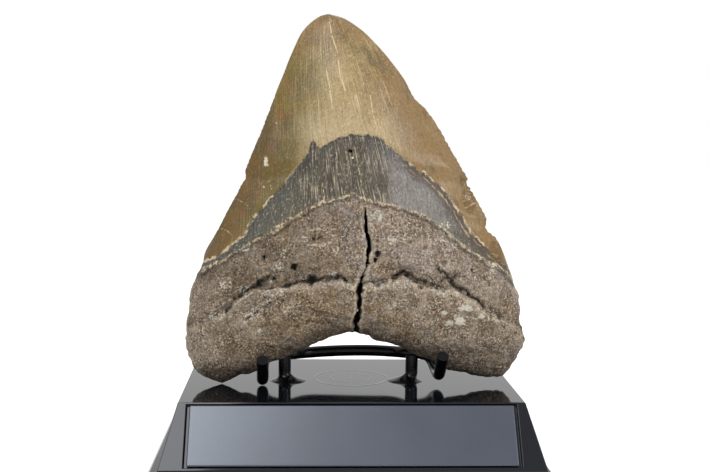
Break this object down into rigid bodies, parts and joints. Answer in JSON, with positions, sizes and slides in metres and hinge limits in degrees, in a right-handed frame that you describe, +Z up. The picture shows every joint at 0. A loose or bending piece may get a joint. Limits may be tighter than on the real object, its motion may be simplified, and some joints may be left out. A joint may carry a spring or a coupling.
{
  "type": "fossil megalodon tooth",
  "caption": "Large fossil shark tooth with a two-lobed root, resting in a bent-rod cradle on a black display base with a bare sign plate.",
  "frame": {"origin": "centre of the base's underside", "axes": "+Z up, -Y towards the viewer of the tooth's inner side and the sign plate, +X to that viewer's right"},
  "size_m": [0.126, 0.099, 0.147],
  "materials": {
    "fossil": "semi-gloss olive-tan enamel, grey bourlette and dull grey-brown root",
    "black_rod": "glossy black",
    "gloss_black": "polished black",
    "satin_plate": "satin blue-black"
  },
  "bodies": {
    "root": {"tooth": "fossil", "cradle": "black_rod", "base": "gloss_black", "sign_plate": "satin_plate"}
  },
  "joints": []
}
